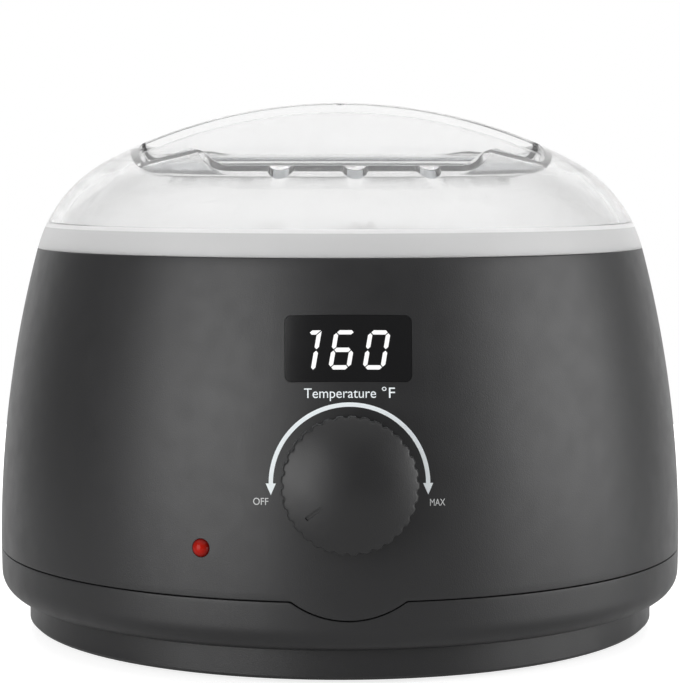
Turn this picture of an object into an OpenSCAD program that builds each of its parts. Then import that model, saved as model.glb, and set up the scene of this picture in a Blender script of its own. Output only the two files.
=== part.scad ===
// Wax warmer: a table-top pot heater with a clear lift-off lid, a lift-out pot and a rotary heat control.
// Millimetres, +Z up. The front with the knob is -Y, and the feet stand on z = 0.

/* [Body] */
// Widest diameter of the body
body_d = 174; // [166:1:190]
// Radius of the side wall's bulge, seen from the side
side_r = 285; // [260:5:400]
// Height of the widest point
belt_z = 21; // [19:0.5:24]
// Height of the edge that the lid sits on
rim_z = 95.6; // [92:0.2:104]
// Wall thickness of the two housings
wall = 2.6; // [2:0.1:3]
// Height of the seam between the two housings
seam_z = 20.1; // [19:0.1:22]
// Gap that shows at that seam
seam_gap = 0.5; // [0.3:0.1:0.8]
// Width of the dip in the seam under the knob
dip_w = 25.8; // [20:0.2:32]
// Depth of that dip
dip_h = 4.2; // [3:0.1:5]
// Height of the tongue that centres the housings on each other
tongue_h = 3; // [2:0.5:4]
// Thickness of the tongue
tongue_t = 1.4; // [1:0.1:2]
// Clearance between the tongue and the upper housing
tongue_gap = 0.2; // [0.1:0.05:0.4]
// Height of the tongue's root below the seam
tongue_root = 4; // [3:0.5:5]

/* [Lower housing and plinth] */
// Height of the lower housing's underside
lower_z = 8.2; // [7.5:0.1:9]
// Fillet round that underside
lower_fillet = 6; // [4:0.5:7]
// How far the plinth stands in from the widest point
plinth_inset = 7; // [6.5:0.5:10]
// Chamfer round the plinth's bottom edge
plinth_chamfer = 0.8; // [0.4:0.1:1.5]
// Thickness of the plinth's floor
floor_t = 2.5; // [2.2:0.1:3]
// Diameter of a rubber foot
foot_d = 13; // [10:0.5:16]
// How far the feet stand proud of the plinth
foot_proud = 1; // [0.8:0.1:2]
// Depth of the pocket that holds a foot
foot_pocket = 1.2; // [0.8:0.1:1.4]
// Distance from the plinth's edge to a foot's centre
foot_inset = 14; // [10:0.5:18]

/* [Lid] */
// Height of the lid above the rim
lid_h = 36.6; // [34:0.2:44]
// Radius of the lid's dome
dome_r = 128; // [115:1:150]
// Wall thickness of the lid
lid_wall = 2.3; // [1.8:0.1:2.6]
// Height of the thick band round the lid's rim
band_h = 5.6; // [4:0.2:8]
// Depth of the lip that drops inside the body's rim
lip_h = 3; // [2:0.2:3.4]
// Thickness of the lip
lip_t = 1.6; // [1.2:0.1:2]
// Clearance round the lip
lip_gap = 0.4; // [0.3:0.05:0.8]
// Thickness of the grip ridge
grip_w = 16; // [12:0.5:22]
// Depth of the finger scoops below the top of the lid
scoop_depth = 16.1; // [12:0.1:18]
// Width of a scoop, from front to back
scoop_w = 32; // [26:0.5:36]
// Length of a scoop along the ridge
scoop_l = 100; // [80:1:108]
// Fillet in the bottom of a scoop
scoop_fillet = 5; // [3:0.5:7]
// Width of the flat where a scoop opens outwards
notch_w = 54; // [40:1:58]
// Width of the curve at each end of that flat
notch_curve_w = 9; // [6:0.5:10]
// Rise of that curve
notch_curve_h = 4; // [3:0.2:5]
// Diameter of a vent hole
vent_d = 6; // [4:0.2:7]
// Distance between vent holes
vent_pitch = 16.6; // [12:0.2:18]
// Sideways offset of the row of vent holes
vent_offset = 2; // [0:0.2:4]
// Distance from the scoop's front edge back to the vents
vent_inset = 1.5; // [0:0.1:4]
// Diameter of the moulding mark on top of the ridge
gate_d = 5; // [3:0.2:6]
// Depth of that mark
gate_depth = 0.7; // [0.3:0.1:1]

/* [Well and pot] */
// Drop from the rim to the deck round the pot
deck_drop = 3.7; // [3.5:0.1:6]
// Thickness of the deck
deck_t = 3; // [2.4:0.1:4]
// Distance from the rim's outer edge to the well's outer wall
well_inset = 15.4; // [14.6:0.2:20]
// Sheet thickness of the well
well_t = 1.5; // [1:0.1:2]
// Corner radius at the bottom of the well
well_corner = 4.7; // [4.5:0.1:9]
// Width of the well's flange
well_flange = 4.3; // [3:0.1:5]
// Gap between the pot and the well
pot_gap = 1; // [0.6:0.1:2]
// Sheet thickness of the pot
pot_t = 1.2; // [0.8:0.1:1.6]
// Width of the pot's flange
pot_flange = 6; // [5:0.1:7]
// Radius of the bead round the flange
bead_r = 1.1; // [0.8:0.1:1.4]
// Gap between the pot's flange and the deck
flange_gap = 0.3; // [0.2:0.1:0.6]
// Width of a lifting tab on the pot
tab_w = 26; // [16:1:36]
// How far a lifting tab stands out from the bead
tab_reach = 2.4; // [1.5:0.1:3]

/* [Heater stack] */
// Height of the bay under the well, from the plinth's floor to the bracket
bay_h = 24; // [23:0.5:28]
// Thickness of the bracket
bracket_t = 1.5; // [1:0.1:2.5]
// Width of the bracket
bracket_w = 14; // [10:0.5:18]
// Distance from the insulation's edge to a bracket screw
bracket_inset = 4.6; // [4:0.1:5]
// Length of the bracket past a screw
bracket_end = 5; // [4:0.5:6]
// Thickness of the insulation
insulation_t = 2.6; // [2.2:0.1:3]
// Distance from the well's wall in to the insulation's edge
insulation_inset = 9.8; // [9:0.2:14]
// Thickness of the heater
heater_t = 3; // [2:0.2:4]
// Distance from the insulation's edge in to the heater's edge
heater_inset = 4; // [2:0.5:10]
// Height of the heater band round the well
side_heater_h = 22; // [14:1:26]
// Thickness of that band
side_heater_t = 1.5; // [1:0.1:2.5]
// Distance from the well's corner up to that band
side_heater_z = 2; // [1:0.5:6]
// Diameter of the stud under the well
stud_d = 4; // [3:0.5:5]
// Width across the flats of the stud's nut
stud_nut_af = 7; // [6:0.5:9]
// Thickness of that nut
stud_nut_t = 3.2; // [2:0.2:4]
// Length of thread that shows below the nut
stud_tail = 2; // [1:0.5:3]
// Diameter of the temperature sensor
sensor_d = 4; // [3:0.2:5]
// Length of the temperature sensor
sensor_l = 13; // [10:0.5:16]
// Diameter of the thermal fuse
fuse_d = 4.6; // [3:0.2:5]
// Length of the thermal fuse
fuse_l = 15; // [10:0.5:16]
// Thickness of a sensor clip
clip_t = 0.8; // [0.5:0.1:1.2]
// Width of a sensor clip
clip_w = 13; // [11:0.5:16]
// Height of a sensor clip
clip_h = 6; // [4:0.5:8]
// Distance from the deck down to the middle of the clips
clip_drop = 16; // [14:0.5:20]

/* [Knob and potentiometer] */
// Height of the knob's axis at the wall
knob_z = 46.4; // [44:0.2:50]
// Diameter of the knob
knob_d = 30; // [26:0.5:34]
// Length of the knob, from its skirt to its crown
knob_h = 13.2; // [12.6:0.2:18]
// Gap between the knob's skirt and the wall
knob_gap = 0.6; // [0.4:0.1:1.2]
// Crown of the knob's face
knob_crown = 3.8; // [2:0.1:4.5]
// Fillet round the knob's face
knob_edge = 1; // [0.5:0.1:1.5]
// Thickness of the knob's skirt
knob_wall = 2.4; // [2:0.1:3]
// Thickness of the knob's face
knob_face = 3; // [2.6:0.1:4]
// Number of grooves round the knob
knob_grooves = 33; // [24:1:40]
// Radius of a groove
groove_r = 0.9; // [0.6:0.1:1.2]
// Depth of a groove
groove_depth = 0.45; // [0.3:0.05:0.7]
// Diameter of the knob's hub
hub_d = 10; // [9:0.5:12]
// Gap between the hub and the threaded bush
hub_gap = 0.5; // [0.3:0.1:1]
// Angle of the pointer at OFF, counter-clockwise from +X in the front view
pointer_a = 216.5; // [210:0.5:225]
// Distance from the knob's axis to the pointer's middle
pointer_r = 9.7; // [8:0.1:11]
// Length of the pointer
pointer_l = 4.6; // [3:0.1:6]
// Width of the pointer
pointer_w = 0.9; // [0.6:0.1:1.4]
// Depth of the pointer
pointer_depth = 0.5; // [0.3:0.1:0.8]
// Diameter of the shaft
shaft_d = 6; // [5:0.5:6]
// Depth of the flat on the shaft
shaft_flat = 0.8; // [0.5:0.1:1.2]
// Running clearance of the shaft in its bush
shaft_gap = 0.06; // [0.04:0.01:0.1]
// Diameter of the threaded bush
bush_d = 7.4; // [7:0.1:8]
// Length of the bush past its nut
bush_tail = 0.8; // [0.5:0.1:1]
// Diameter of the potentiometer's body
body_pot_d = 17; // [15:0.5:18]
// Length of the potentiometer's body
body_pot_l = 9; // [8:0.5:10]
// Thickness of that body behind the shaft
body_pot_back = 2; // [1:0.5:3]
// Width of a terminal on the potentiometer
pin_w = 1.2; // [0.8:0.1:1.6]
// Length of a terminal, from the body's middle line out
pin_l = 7; // [6:0.5:9]
// Thickness of a terminal
pin_t = 0.8; // [0.4:0.1:1]
// Distance between terminals
pin_pitch = 5; // [4:0.1:5]
// Depth of the potentiometer's seat behind the wall's outer face
seat_depth = 4; // [3.6:0.1:5]
// Diameter of the flat under the washer
spot_d = 16; // [15:0.5:18]
// Depth of that flat
spot_depth = 0.8; // [0.5:0.1:1]
// Diameter of the washer
washer_d = 12.5; // [12:0.5:14]
// Thickness of the washer
washer_t = 0.6; // [0.4:0.1:0.8]
// Width across the flats of the bush's nut
nut_af = 10; // [9:0.5:11]
// Thickness of that nut
nut_t = 2; // [1.6:0.1:2.4]

/* [Display] */
// Height of the window's middle
display_z = 75.9; // [72:0.1:77]
// Width of the window
window_w = 28.2; // [26:0.2:32]
// Height of the window
window_h = 14.9; // [13:0.1:16]
// Corner radius of the window
window_corner = 1.5; // [1:0.1:3]
// Thickness of the window
window_t = 2; // [1.5:0.1:2.4]
// Clearance round the window
window_gap = 0.08; // [0.05:0.01:0.15]
// Height of a digit
digit_h = 9; // [7:0.1:10]
// Width of a digit
digit_w = 5.1; // [4.4:0.1:5.6]
// Distance between digits
digit_pitch = 7.65; // [6.6:0.05:8]
// Stroke of a segment
digit_stroke = 1.15; // [0.8:0.05:1.3]
// Gap between segments
digit_gap = 0.12; // [0.08:0.01:0.3]
// Length of the flag on the first digit
digit_flag = 2.4; // [1.6:0.1:3]
// Slant of the digits
digit_slant = 9; // [0:0.5:12]
// Sideways place of the middle digit in the window
digit_x = -1.5; // [-2:0.1:0]
// Height of the digits above the window's middle
digit_y = -0.27; // [-1:0.01:1]
// Width of the light module behind the window
module_w = 24; // [22:0.5:25]
// Height of the light module
module_h = 14; // [12:0.5:14.5]
// Thickness of the light module
module_t = 7; // [6:0.2:8]
// Gap between the window and the light module
module_gap = 0.3; // [0.2:0.1:0.6]
// Width of the display board
display_board_w = 37; // [36:0.5:42]
// Height of the display board
display_board_h = 24; // [23:0.5:26]
// Thickness of both circuit boards
board_t = 1.6; // [1:0.2:2]
// Distance from the display board's edge to a screw
display_screw_inset = 2.9; // [2.6:0.1:3]
// Diameter of a boss for a display screw
display_boss_d = 5.2; // [4.4:0.1:5.2]

/* [Indicator light] */
// Angle of the light, seen from above, from the front towards +X
light_a = -22.2; // [-40:0.2:-18]
// Height of the light
light_z = 31.3; // [29:0.1:36]
// Diameter of the light
light_d = 4.1; // [4:0.1:6]
// How far the light's dome stands out
light_dome = 1.4; // [1:0.1:2]
// Clearance round the light
light_gap = 0.1; // [0.05:0.01:0.2]
// Thickness of the light's flange behind the wall
light_flange_t = 1.2; // [0.8:0.1:2]
// Width of that flange, past the light
light_flange_w = 1; // [0.6:0.1:1.5]
// Diameter of the lamp
lamp_d = 3; // [2:0.1:3]
// Length of the lamp behind the flange
lamp_l = 5; // [4:0.5:6]

/* [Circuit board and cord gland] */
// Width of the power board
power_w = 58; // [54:1:64]
// Depth of the power board, from front to back
power_d = 44; // [40:1:48]
// Gap between the power board's rear corners and the lower housing
power_gap = 1.5; // [1:0.1:4]
// Height of the board's standoffs
standoff_h = 5.5; // [4:0.5:6]
// Diameter of a standoff
standoff_d = 6.4; // [5.5:0.1:7]
// Distance from the board's edge to a standoff's middle
standoff_inset = 4; // [3.5:0.1:5]
// Distance from the board's edge to the relay and to the terminal block
part_inset = 5; // [4.5:0.1:6]
// Width of the relay
relay_w = 19; // [15:0.5:20]
// Depth of the relay, from front to back
relay_d = 15.4; // [12:0.2:17]
// Height of the relay
relay_h = 15; // [12:0.5:15.5]
// Place of the relay behind the board's middle
relay_y = -2; // [-4:0.5:-2]
// Width of the terminal block
terminal_w = 20; // [16:1:22]
// Depth of the terminal block, from front to back
terminal_d = 9; // [7:0.5:9.5]
// Height of the terminal block
terminal_h = 10; // [8:0.5:12]
// Place of the terminal block to the right of the board's middle
terminal_x = 4; // [2:0.5:6]
// Number of ways in the terminal block
terminal_ways = 4; // [2:1:4]
// Diameter of a wire hole in the terminal block
terminal_hole = 3; // [2:0.1:3.5]
// Diameter of the filter capacitor
capacitor_d = 10; // [6:0.5:12]
// Height of the filter capacitor
capacitor_h = 12; // [8:0.5:14]
// Place of the capacitor to the right of the board's middle
capacitor_x = 13; // [10:0.5:14]
// Place of the capacitor behind the board's middle
capacitor_y = -7; // [-9:0.5:-5]
// Bore of the cord gland
gland_bore = 6.6; // [5:0.1:7]
// Width of the gland's square neck
gland_neck_w = 10; // [9:0.1:10.4]
// Diameter of the gland's flanges
gland_flange_d = 14; // [12.5:0.1:14]
// Thickness of the gland's flanges
gland_flange_t = 2; // [1.5:0.1:2.5]

/* [Screws] */
// Distance from the body's widest point in to a housing screw
post_inset = 17; // [15:0.5:19]
// Diameter of a screw post
post_d = 8; // [7:0.5:9]
// Height of the posts' top
post_top = 60; // [50:1:70]
// Width of the lower housing's ledge inside a post
ledge_w = 2; // [1.5:0.1:4]
// Thickness of a post's rib
rib_t = 2.4; // [1.6:0.1:3]
// Shank diameter of a housing screw
screw_d = 3.4; // [3:0.1:3.6]
// Length of a housing screw under its head
screw_l = 20; // [14:1:26]
// Shank diameter of a bracket screw
bracket_screw_d = 3; // [2.5:0.1:3.5]
// Length of a bracket screw under its head
bracket_screw_l = 8; // [6:0.5:12]
// Shank diameter of a board screw
board_screw_d = 2.4; // [2:0.1:2.6]
// Length of a board screw under its head
board_screw_l = 5; // [4:0.5:6]
// Shank diameter of a display screw
display_screw_d = 1.8; // [1.6:0.1:2]
// Length of a display screw under its head
display_screw_l = 5; // [4:0.5:6]
// Diameter of a screw's head, as a multiple of its shank
head_ratio = 1.9; // [1.7:0.05:2]
// Height of a screw's head, as a multiple of its shank
head_h_ratio = 0.65; // [0.5:0.05:0.7]
// Clearance round a screw's shank
screw_gap = 0.05; // [0.03:0.01:0.2]
// Clearance round a screw's head
head_gap = 0.3; // [0.2:0.05:0.5]

/* [Hidden] */
$fn = 96;

// Overlap that joins two shapes into one solid, and the reach of a cut past what it cuts
bite = 0.4;
past = 1;
// Clearance between still pieces that lie round one another
fit = 0.1;
// Reach of a cut on either side of the curved wall, and of one that goes right through
reach = 5;
far = 2 * body_d;

charcoal = "#464648";
clear = "#dfe6ea99";
steel = "#b9bcc0";
aluminium = "#d3d5d8";
black = "#1c1c1e";
board_green = "#1f5a3a";
brass = "#c2a35a";

// Side wall
function side_at(z, inset = 0) = body_d / 2 - side_r + sqrt(pow(side_r - inset, 2) - pow(z - belt_z, 2));
function tilt_at(z) = asin((z - belt_z) / side_r);
// Drop of a round face of radius r at a distance x from its crown
function sag(r, x) = r - sqrt(r * r - x * x);

rim_r = side_at(rim_z);
rim_in = side_at(rim_z, wall);
rim_tilt = tilt_at(rim_z);

// Lower housing's fillet, tangent to the side wall and to the underside
fillet_z = lower_z + lower_fillet;
fillet_x = body_d / 2 - side_r + sqrt(pow(side_r - lower_fillet, 2) - pow(fillet_z - belt_z, 2));
function fillet_top(inset) = belt_z + (fillet_z - belt_z) * (side_r - inset) / (side_r - lower_fillet);

// Dip in the seam: a circle through its two ends and its lowest point
dip_r = (pow(dip_w / 2, 2) + pow(dip_h, 2)) / (2 * dip_h);
dip_z = seam_z - dip_h + dip_r;
tongue_r = side_at(seam_z, wall) - tongue_gap;

plinth_r = body_d / 2 - plinth_inset;
floor_z = foot_proud + floor_t;
post_r = body_d / 2 - post_inset;
post_z = lower_z + wall;
post_angles = [30, 150, 210, 330];
lower_open_r = post_r - post_d / 2 - ledge_w;
foot_r = plinth_r - foot_inset;
foot_angles = [45, 135, 225, 315];

// Lid: the shoulder is tangent to the dome and carries on the side wall's slope
top_z = rim_z + lid_h;
dome_z = top_z - dome_r;
rim_rise = rim_z - dome_z;
shoulder_r = (pow(rim_r, 2) + pow(rim_rise, 2) - pow(dome_r, 2))
  / (2 * (rim_r * cos(rim_tilt) + rim_rise * sin(rim_tilt) - dome_r));
shoulder_a = asin((rim_r - shoulder_r * cos(rim_tilt)) / (dome_r - shoulder_r));
shoulder_x = (dome_r - shoulder_r) * sin(shoulder_a);
shoulder_z = dome_z + (dome_r - shoulder_r) * cos(shoulder_a);
lip_r = rim_in - lip_gap;
scoop_z = top_z - scoop_depth;
scoop_y = grip_w / 2;
notch_r = (pow(notch_curve_w, 2) + pow(notch_curve_h, 2)) / (4 * notch_curve_h);
// Radius at which the scoop's floor meets the lid's outside, on the dome or on the shoulder
scoop_edge_r = scoop_z > dome_z + dome_r * cos(shoulder_a)
  ? sqrt(pow(dome_r, 2) - pow(scoop_z - dome_z, 2))
  : shoulder_x + sqrt(pow(shoulder_r, 2) - pow(scoop_z - shoulder_z, 2));
vent_ring_r = scoop_edge_r - vent_inset;
gate_r = (pow(gate_d / 2, 2) + pow(gate_depth, 2)) / (2 * gate_depth);

// Heater stack, from the plinth's floor up
bracket_z = floor_z + bay_h;
insulation_z = bracket_z + bracket_t;
heater_z = insulation_z + insulation_t;
well_z = heater_z + heater_t;
pot_z = well_z + well_t;
deck_z = rim_z - deck_drop;
well_r = rim_r - well_inset;
flange_r = well_r + well_flange;
pot_r = well_r - well_t - pot_gap;
pot_rim_z = deck_z + flange_gap;
bead_ring_r = pot_r + pot_flange;
insulation_r = well_r - insulation_inset;
heater_r = insulation_r - heater_inset;
bracket_post_r = insulation_r + bracket_inset;
clip_z = deck_z - clip_drop;
sensor_a = 150;
fuse_a = 210;

// Knob, in its own frame at the wall
knob_r = knob_d / 2;
knob_top = knob_gap + knob_h;
knob_ball = (pow(knob_r, 2) + pow(knob_crown, 2)) / (2 * knob_crown);
knob_edge_z = knob_top - knob_ball + sqrt(pow(knob_ball - knob_edge, 2) - pow(knob_r - knob_edge, 2));
knob_edge_x = (knob_r - knob_edge) * knob_ball / (knob_ball - knob_edge);
knob_cavity = knob_top - knob_crown - knob_face;
nut_z = washer_t - spot_depth;
bush_top = nut_z + nut_t + bush_tail;
hub_z = bush_top + hub_gap;
shaft_top = knob_cavity + knob_face / 2;
shaft_end = -seat_depth - body_pot_l + body_pot_back;

// Display, in its own frame at the wall
module_z = -window_t - sag(side_at(display_z, window_t), module_w / 2) - module_gap - module_t;
display_board_z = module_z - board_t;
display_screw_x = display_board_w / 2 - display_screw_inset;
display_screw_y = display_board_h / 2 - display_screw_inset;

// Segments of the digits shown: clockwise from the top, then the middle one, then the short flag
digits = [[1, 2, 7], [0, 2, 3, 4, 5, 6], [0, 1, 2, 3, 4, 5]];

light_flange_z = -wall - sag(side_at(light_z, wall), light_d / 2 + light_flange_w) - fit - light_flange_t;

power_y = sqrt(pow(lower_open_r - power_gap, 2) - pow(power_w / 2, 2)) - power_d / 2;
power_z = floor_z + standoff_h;
parts_z = power_z + board_t;
terminal_y = power_d / 2 - part_inset - terminal_d / 2;
standoff_x = power_w / 2 - standoff_inset;
standoff_y = power_d / 2 - standoff_inset;

// Cord gland, in the rear of the seam
back_r = side_at(seam_z);
back_in = side_at(seam_z, wall);
gland_out = back_r + fit;
gland_in = back_in - sag(back_in, gland_flange_d / 2) - fit;
// Half of the angle that the tongue leaves free for the gland's inner flange
gland_half_a = asin((gland_flange_d / 2 + past) / tongue_r);

// Reach of the knob in front and of the gland behind, which centre the part's box on the origin
front_reach = side_at(knob_z) + (knob_top - knob_ball) * cos(tilt_at(knob_z)) + knob_ball;
back_reach = gland_out + gland_flange_t;
axis_y = (front_reach - back_reach) / 2;

echo(axis_y = axis_y, knob_y = axis_y - side_at(knob_z), knob_tilt = tilt_at(knob_z), deck_z = deck_z);
echo(pot_z = pot_z, pot_r = pot_r, lip_r = lip_r, scoop_z = scoop_z, gland_y = axis_y + gland_out);

module on_axis() translate([0, axis_y, 0]) children();

// A frame on the outside of the wall: +Z points straight out of it, and +Y up it
module on_wall(a, z) rotate([0, 0, a]) translate([0, -side_at(z), z]) rotate([90 - tilt_at(z), 0, 0]) children();

module around(angles, r) for (a = angles) rotate([0, 0, a]) translate([r, 0, 0]) children();

module corners(x, y) for (i = [-1, 1], j = [-1, 1]) translate([i * x, j * y, 0]) children();

module box2d(x0, z0, x1, z1) translate([x0, z0]) square([x1 - x0, z1 - z0]);

module rounded(w, h, r) {
  square([w - 2 * r, h], center = true);
  square([w, h - 2 * r], center = true);
  corners(w / 2 - r, h / 2 - r) circle(r);
}

// A screw with its head's underside on z = 0 and its shank down
module screw(d, l) {
  translate([0, 0, -l]) cylinder(d = d, h = l + bite);
  cylinder(d = d * head_ratio, h = d * head_h_ratio);
}

module screw_hole(d, l) translate([0, 0, -l - past]) cylinder(d = d + 2 * screw_gap, h = l + 2 * past);

module hex_nut(af, t, bore) difference() {
  cylinder(d = af / cos(30), h = t, $fn = 6);
  translate([0, 0, -past]) cylinder(d = bore, h = t + 2 * past);
}

// Half section of the housings' skin, set in by inset
module body_section(inset) difference() {
  intersection() {
    translate([body_d / 2 - side_r, belt_z]) circle(side_r - inset, $fn = 720);
    box2d(0, lower_z + inset, body_d, rim_z);
  }
  difference() {
    box2d(fillet_x, 0, body_d, fillet_top(inset));
    translate([fillet_x, fillet_z]) circle(lower_fillet - inset);
  }
}

module skin() rotate_extrude() difference() {
  body_section(0);
  union() {
    body_section(wall);
    box2d(0, rim_z - past, rim_in, rim_z + past);
  }
}

// Everything above the seam, with the dip in front, set back by inset
module above_seam(inset) {
  translate([-far / 2, -far / 2, seam_z + inset]) cube([far, far, far]);
  translate([0, 0, dip_z]) rotate([90, 0, 0]) cylinder(r = dip_r - inset, h = far / 2);
}

// Square prism along the gland's axis
module gland_bar(w, y0, y1) translate([-w / 2, y0, seam_z - w / 2]) cube([w, y1 - y0, w]);

module gland_cut() gland_bar(gland_neck_w + 2 * fit, back_in - 2 * wall, back_r + past);

// Cup of revolution with round bottom corners
module cup_section(r, z0, z1, corner) {
  box2d(0, z0 + corner, r, z1);
  box2d(0, z0, r - corner, z0 + corner);
  translate([r - corner, z0 + corner]) circle(corner);
}

module cup_wall(r, z0, z1, corner, t) difference() {
  cup_section(r, z0, z1, corner);
  intersection() {
    cup_section(r - t, z0 + t, z1 + past, corner - t);
    box2d(0, z0, r, z1 + past);
  }
}

module window_outline(inset) rounded(window_w - 2 * inset, window_h - 2 * inset, window_corner - inset);

module window_prism(inset) on_wall(0, display_z)
  translate([0, 0, -wall - reach]) linear_extrude(wall + 2 * reach) window_outline(inset);

// Slice of the wall's outer side that the window and its digits fill
module window_slice() rotate_extrude() difference() {
  body_section(0);
  body_section(window_t);
}

// Long hexagon of one segment, laid along X or up Y, with the digits' slant
module segment(x, y, len, upright) {
  s = digit_stroke / 2;
  l = len / 2 - digit_gap;
  bar = [[-l, 0], [s - l, s], [l - s, s], [l, 0], [l - s, -s], [s - l, -s]];
  polygon([for (p = bar)
    let (px = x + (upright ? p[1] : p[0]), py = y + (upright ? p[0] : p[1])) [px + py * tan(digit_slant), py]]);
}

module digit(segments) {
  w = digit_w - digit_stroke;
  h = (digit_h - digit_stroke) / 2;
  bars = [
    [0, h, w, false], [w / 2, h / 2, h, true], [w / 2, -h / 2, h, true], [0, -h, w, false],
    [-w / 2, -h / 2, h, true], [-w / 2, h / 2, h, true], [0, 0, w, false],
    [(w - digit_flag) / 2, h, digit_flag, false]
  ];
  for (i = segments) segment(bars[i][0], bars[i][1], bars[i][2], bars[i][3]);
}

module digits_prism() on_wall(0, display_z) translate([0, 0, -wall - reach])
  linear_extrude(wall + 2 * reach) translate([digit_x, digit_y])
    for (i = [0:2]) translate([(i - 1) * digit_pitch, 0]) digit(digits[i]);

// Half section of the lid's dome, set in by inset
module dome_section(inset) difference() {
  intersection() {
    translate([0, dome_z]) circle(dome_r - inset, $fn = 720);
    box2d(0, rim_z, body_d, top_z + past);
  }
  difference() {
    box2d((dome_r - inset) * sin(shoulder_a), 0, body_d, top_z + past);
    translate([shoulder_x, shoulder_z]) circle(shoulder_r - inset, $fn = 240);
  }
}

// Slot with an open top and round bottom corners
module open_slot(x0, x1, z0, r) {
  box2d(x0, z0 + r, x1, top_z + 2 * past);
  box2d(x0 + r, z0, x1 - r, z0 + r + past);
  for (x = [x0 + r, x1 - r]) translate([x, z0 + r]) circle(r);
}

// What one finger scoop takes away in front of the ridge, grown by grow
module scoop(grow) intersection() {
  rotate([90, 0, 90]) linear_extrude(far, center = true)
    open_slot(-scoop_y - scoop_w - grow, -scoop_y + grow, scoop_z - grow, scoop_fillet + grow);
  rotate([90, 0, 0]) linear_extrude(far, center = true)
    open_slot(-scoop_l / 2 - grow, scoop_l / 2 + grow, scoop_z - grow, scoop_fillet + grow);
}

// Flat opening on a scoop's outer side, with an S-curve of two arcs at each end
module notch_section(grow) {
  box2d(-notch_w / 2, scoop_z - grow, notch_w / 2, top_z + past);
  for (i = [0, 1]) mirror([i, 0]) {
    translate([notch_w / 2, scoop_z + notch_r]) circle(notch_r + grow);
    difference() {
      box2d(notch_w / 2 - bite, scoop_z + notch_curve_h / 2, notch_w / 2 + notch_curve_w, top_z + past);
      translate([notch_w / 2 + notch_curve_w, scoop_z + notch_curve_h - notch_r]) circle(notch_r - grow);
    }
  }
}

module notch(grow) rotate([90, 0, 0])
  translate([0, 0, scoop_y + scoop_w / 2]) linear_extrude(far / 2) notch_section(grow);

module grip_cuts(grow) for (i = [0, 1]) mirror([0, i, 0]) {
  scoop(grow);
  notch(grow);
}

module lid() color(clear) difference() {
  union() {
    difference() {
      difference() {
        rotate_extrude() dome_section(0);
        grip_cuts(0);
      }
      difference() {
        rotate_extrude() dome_section(lid_wall);
        grip_cuts(lid_wall);
      }
    }
    rotate_extrude() {
      intersection() {
        dome_section(0);
        box2d(lip_r - lip_t, rim_z, rim_r + past, rim_z + band_h);
      }
      box2d(lip_r - lip_t, rim_z - lip_h, lip_r, rim_z + bite);
    }
  }
  for (i = [-1:1]) {
    x = vent_offset + i * vent_pitch;
    translate([x, -sqrt(pow(vent_ring_r, 2) - x * x), rim_z + band_h + past]) cylinder(d = vent_d, h = lid_h);
  }
  translate([0, 0, top_z - gate_depth + gate_r]) sphere(gate_r);
}

module wax_pot() color(aluminium) {
  rotate_extrude() {
    cup_wall(pot_r, pot_z, pot_rim_z + pot_t, well_corner - well_t, pot_t);
    box2d(pot_r - bite, pot_rim_z, bead_ring_r, pot_rim_z + pot_t);
    translate([bead_ring_r, pot_rim_z + bead_r]) circle(bead_r);
  }
  for (i = [0, 1]) mirror([i, 0, 0]) intersection() {
    rotate_extrude() box2d(bead_ring_r, pot_rim_z, bead_ring_r + bead_r + tab_reach, pot_rim_z + pot_t);
    translate([0, -tab_w / 2, 0]) cube([far, tab_w, far]);
  }
}

module heating_well() color(aluminium) {
  rotate_extrude() {
    cup_wall(well_r, well_z, deck_z, well_corner, well_t);
    box2d(well_r - bite, deck_z - well_t, flange_r, deck_z);
  }
  stud_z = bracket_z - stud_nut_t - stud_tail;
  translate([0, 0, stud_z]) cylinder(d = stud_d, h = well_z - stud_z + bite);
}

module stacked_disc(r, z, t) difference() {
  translate([0, 0, z]) cylinder(r = r, h = t);
  translate([0, 0, z - past]) cylinder(d = stud_d + 2 * fit, h = t + 2 * past);
}

module heater_disc() color("#8f8574") stacked_disc(heater_r, heater_z, heater_t);

module insulation_disc() color("#e6e0d0") stacked_disc(insulation_r, insulation_z, insulation_t);

module heater_band() color("#9a8c70") rotate_extrude()
  translate([well_r + fit, well_z + well_corner + side_heater_z]) square([side_heater_t, side_heater_h]);

module well_bracket() color(steel) difference() {
  translate([-bracket_post_r - bracket_end, -bracket_w / 2, bracket_z])
    cube([2 * (bracket_post_r + bracket_end), bracket_w, bracket_t]);
  translate([0, 0, bracket_z - past]) cylinder(d = stud_d + 2 * fit, h = bracket_t + 2 * past);
  around([0, 180], bracket_post_r) translate([0, 0, insulation_z]) screw_hole(bracket_screw_d, bracket_t);
}

module well_nut() color(steel) translate([0, 0, bracket_z - stud_nut_t])
  hex_nut(stud_nut_af, stud_nut_t, stud_d + 2 * screw_gap);

module bracket_screws() color(steel)
  around([0, 180], bracket_post_r) translate([0, 0, insulation_z]) screw(bracket_screw_d, bracket_screw_l);

// A frame on the outside of the well, with -Y out of it
module on_well(a) rotate([0, 0, a]) translate([0, -well_r - fit, clip_z]) children();

module capsule(d, l) translate([0, -d / 2, -l / 2]) cylinder(d = d, h = l);

module clip(a, d) difference() {
  on_well(a) difference() {
    translate([0, 0, -clip_h / 2]) {
      translate([0, -d / 2, 0]) cylinder(d = d + 2 * (fit + clip_t), h = clip_h);
      translate([-clip_w / 2, -clip_t, 0]) cube([clip_w, clip_t, clip_h]);
    }
    capsule(d + 2 * fit, clip_h + 2 * past);
  }
  cylinder(r = well_r + fit, h = far);
}

module temperature_sensor() color(steel) on_well(sensor_a) capsule(sensor_d, sensor_l);

module thermal_fuse() color("#e8e4da") on_well(fuse_a) capsule(fuse_d, fuse_l);

module sensor_clips() color(steel) {
  clip(sensor_a, sensor_d);
  clip(fuse_a, fuse_d);
}

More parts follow.
